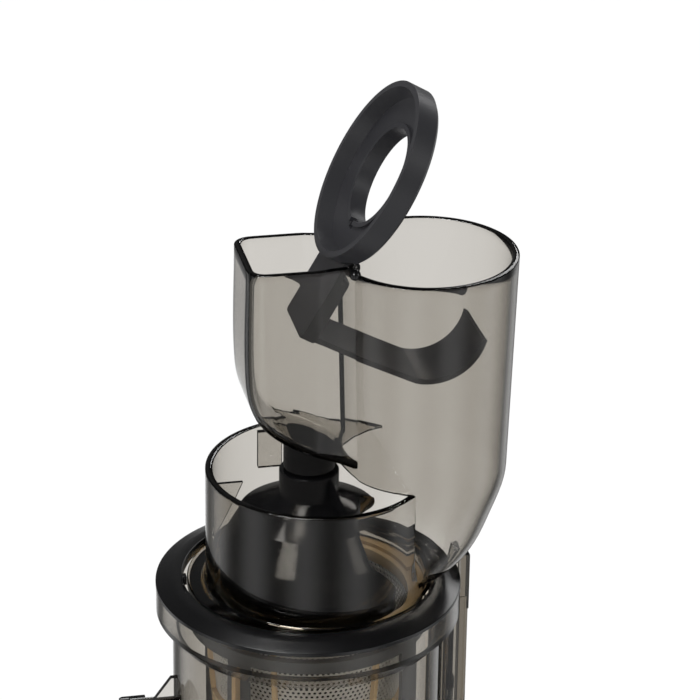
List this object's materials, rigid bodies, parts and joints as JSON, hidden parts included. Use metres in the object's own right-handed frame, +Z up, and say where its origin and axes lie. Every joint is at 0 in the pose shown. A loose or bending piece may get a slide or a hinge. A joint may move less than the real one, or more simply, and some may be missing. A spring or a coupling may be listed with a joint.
{
  "type": "vertical auger juicer",
  "caption": "Upright slow juicer with a clear flip-gate hopper over an auger, strainer and spinning wiper drum, on a geared motor base with a control knob.",
  "frame": {"origin": "centre of the footprint on the surface the feet stand on, under the auger axis", "axes": "+Z up along the auger axis, +X along the hopper towards the round chute, -Y the front with the control knob"},
  "size_m": [0.1994, 0.19, 0.5627],
  "materials": {
    "charcoal_abs": "satin moulded",
    "gloss_pin": "polished",
    "smoky_clear": "polished clear moulding",
    "black_plastic": "satin gloss",
    "silicone": "matte",
    "amber_resin": "translucent moulded",
    "perforated_steel": "perforated sheet",
    "gloss_black": "polished",
    "steel": "turned",
    "white_nylon": "moulded",
    "grey_resin": "moulded",
    "spring_steel": "drawn wire",
    "housing_plastic": "satin moulded",
    "rubber": "matte",
    "motor_steel": "drawn can",
    "cast_metal": "die cast",
    "board": "laminate"
  },
  "bodies": {
    "base": {"gate_hinge_pins": "gloss_pin", "hopper": "smoky_clear", "chamber_bowl": "smoky_clear", "upper_bush": "black_plastic", "lock_ring": "black_plastic", "lid_gasket": "silicone", "drum": "smoky_clear", "drum_shaft_seal": "silicone", "juice_cap_bracket": "black_plastic", "strainer_frame": "amber_resin", "strainer_mesh": "perforated_steel", "interlock_spring": "spring_steel", "base_housing": "housing_plastic", "top_deck": "black_plastic", "bottom_cover": "black_plastic", "rubber_feet": "rubber", "cover_screws": "steel", "motor_can": "motor_steel", "layshaft_pin": "steel", "gearbox_plate": "cast_metal", "gearbox_cover": "cast_metal", "output_bearing": "steel", "rotary_switch": "black_plastic", "control_board": "board", "micro_switch": "black_plastic", "cord_gland": "rubber"},
    "gate": {"flip_gate": "charcoal_abs"},
    "auger": {"auger": "gloss_black", "auger_drive_insert": "steel", "auger_gear": "white_nylon", "output_gear": "white_nylon", "drive_shaft": "steel"},
    "idler": {"idler_gear": "steel"},
    "wiper": {"wiper_cage": "grey_resin", "wiper_blades": "silicone"},
    "interlock": {"interlock_rod": "black_plastic"},
    "juice_cap": {"juice_cap": "black_plastic"},
    "motor": {"motor_shaft": "steel", "cooling_fan": "black_plastic", "motor_pinion": "steel"},
    "layshaft": {"layshaft_gears": "white_nylon"},
    "knob": {"control_knob": "black_plastic"}
  },
  "joints": [
    {"name": "gate_hinge", "type": "hinge", "parent": "base", "child": "gate", "pos_m": [0.0157, 0, 0.4815], "axis": [0, 1, 0], "range_deg": [0, 60]},
    {"name": "auger_spin", "type": "hinge", "parent": "base", "child": "auger", "pos_m": [0, 0, 0.3], "axis": [0, 0, 1], "continuous": true},
    {"name": "idler_spin", "type": "hinge", "parent": "base", "child": "idler", "pos_m": [0.036, 0, 0.19], "axis": [0, 0, 1], "continuous": true},
    {"name": "wiper_spin", "type": "hinge", "parent": "base", "child": "wiper", "pos_m": [0, 0, 0.24], "axis": [0, 0, 1], "continuous": true},
    {"name": "layshaft_spin", "type": "hinge", "parent": "base", "child": "layshaft", "pos_m": [0, 0.048, 0.13], "axis": [0, 0, 1], "continuous": true},
    {"name": "motor_spin", "type": "hinge", "parent": "base", "child": "motor", "pos_m": [0, 0.0205, 0.07], "axis": [0, 0, 1], "continuous": true},
    {"name": "interlock_slide", "type": "slide", "parent": "base", "child": "interlock", "axis": [0, 0, 1], "range_m": [-0.004, 0], "stiffness_N_per_m": 300, "springref_m": 0.002, "deforming": ["interlock_spring"]},
    {"name": "juice_cap_hinge", "type": "hinge", "parent": "base", "child": "juice_cap", "pos_m": [-0.0892, 0.0208, 0.231], "axis": [0, 0, -1], "range_deg": [0, 90]},
    {"name": "knob_turn", "type": "hinge", "parent": "base", "child": "knob", "pos_m": [0, -0.085, 0.096], "axis": [0, -1, 0], "range_deg": [-45, 45]}
  ],
  "couplings": [
    {"joint": "idler_spin", "follows": "auger_spin", "ratio": -2},
    {"joint": "wiper_spin", "follows": "auger_spin", "ratio": -0.5},
    {"joint": "layshaft_spin", "follows": "auger_spin", "ratio": -3.5714},
    {"joint": "motor_spin", "follows": "auger_spin", "ratio": 14.286}
  ]
}
